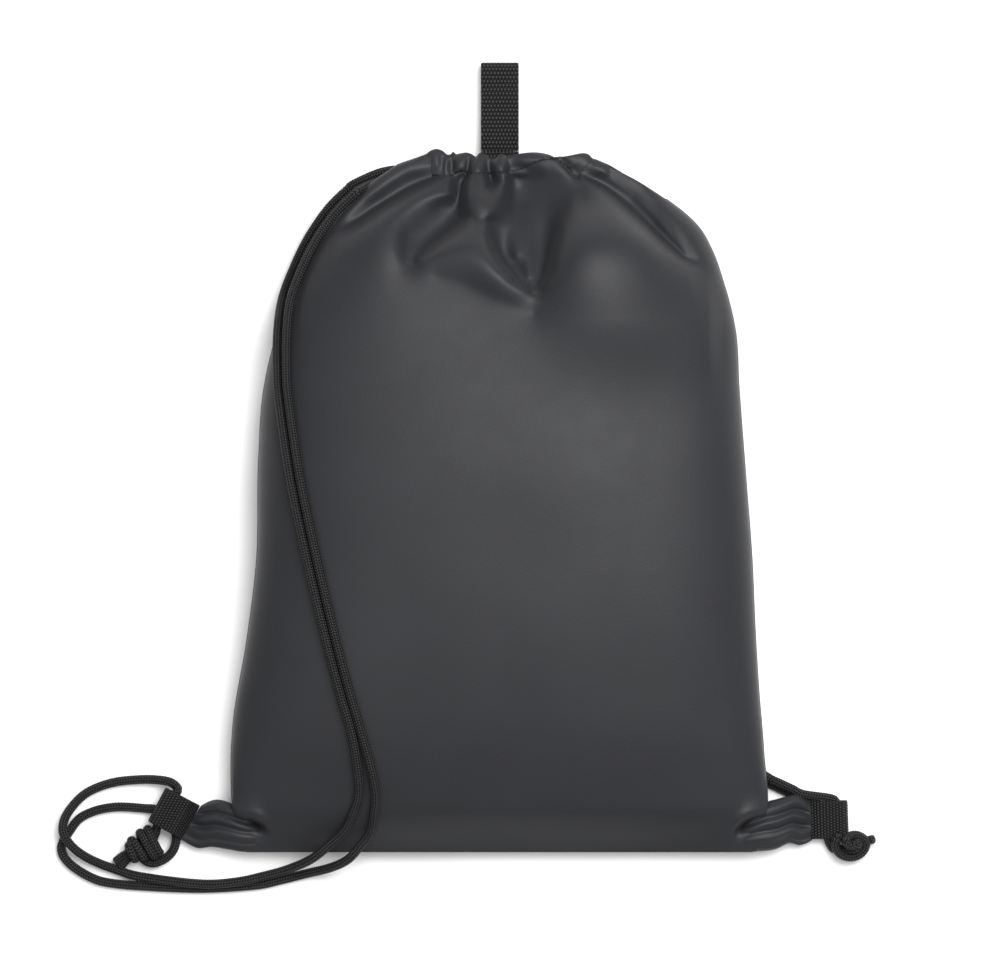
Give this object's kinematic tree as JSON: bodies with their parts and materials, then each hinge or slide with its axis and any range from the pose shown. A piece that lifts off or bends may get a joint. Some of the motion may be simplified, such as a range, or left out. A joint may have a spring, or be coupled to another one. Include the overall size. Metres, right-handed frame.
{
  "type": "drawstring backpack",
  "caption": "Flat cinch backpack of coated cloth lying on its back, with rope drawcords from a gathered neck to webbing tabs on the bottom corners and a hanging loop.",
  "frame": {"origin": "on the surface that the bag's back lies on, under the middle of the bag measured without its cords", "axes": "+Z out of the bag's front, +Y from the bottom towards the drawn neck and the hanging loop, +X to the right seen from the front"},
  "size_m": [0.5407, 0.5499, 0.0849],
  "materials": {
    "bag_fabric": "charcoal coated polyester, smooth with a satin sheen",
    "hem_fabric": "the same charcoal cloth, gathered and sewn into a tunnel",
    "thread": "dark grey sewing thread",
    "seam_tape": "black binding tape, matt",
    "webbing": "black plain-woven polypropylene webbing",
    "cord": "black braided polyester cord"
  },
  "bodies": {
    "bag": {"front_panel": "bag_fabric", "back_panel": "bag_fabric", "front_hem": "hem_fabric", "back_hem": "hem_fabric", "front_hem_stitching": "thread", "back_hem_stitching": "thread", "left_side_seam": "seam_tape", "right_side_seam": "seam_tape", "bottom_seam": "seam_tape", "left_corner": "bag_fabric", "right_corner": "bag_fabric", "left_cord_inner_strand": "cord", "left_cord_outer_strand": "cord", "left_cord_in_hems": "cord", "right_cord_inner_strand": "cord", "right_cord_outer_strand": "cord", "right_cord_in_hems": "cord"},
    "hang_loop": {"hang_loop": "webbing"},
    "left_tab": {"left_tab": "webbing", "left_knot": "cord"},
    "right_tab": {"right_tab": "webbing", "right_knot": "cord"}
  },
  "joints": [
    {"name": "hang_loop_fold", "type": "hinge", "parent": "bag", "child": "hang_loop", "pos_m": [0.0016, 0.204, 0.0085], "axis": [1, 0, 0], "range_deg": [0, 90]},
    {"name": "left_tab_fold", "type": "hinge", "parent": "bag", "child": "left_tab", "pos_m": [-0.2026, -0.2422, 0.006], "axis": [0.4695, 0.8829, 0], "range_deg": [0, 60]},
    {"name": "right_tab_fold", "type": "hinge", "parent": "bag", "child": "right_tab", "pos_m": [0.2063, -0.2409, 0.006], "axis": [0.0349, -0.9994, 0], "range_deg": [0, 60]}
  ]
}
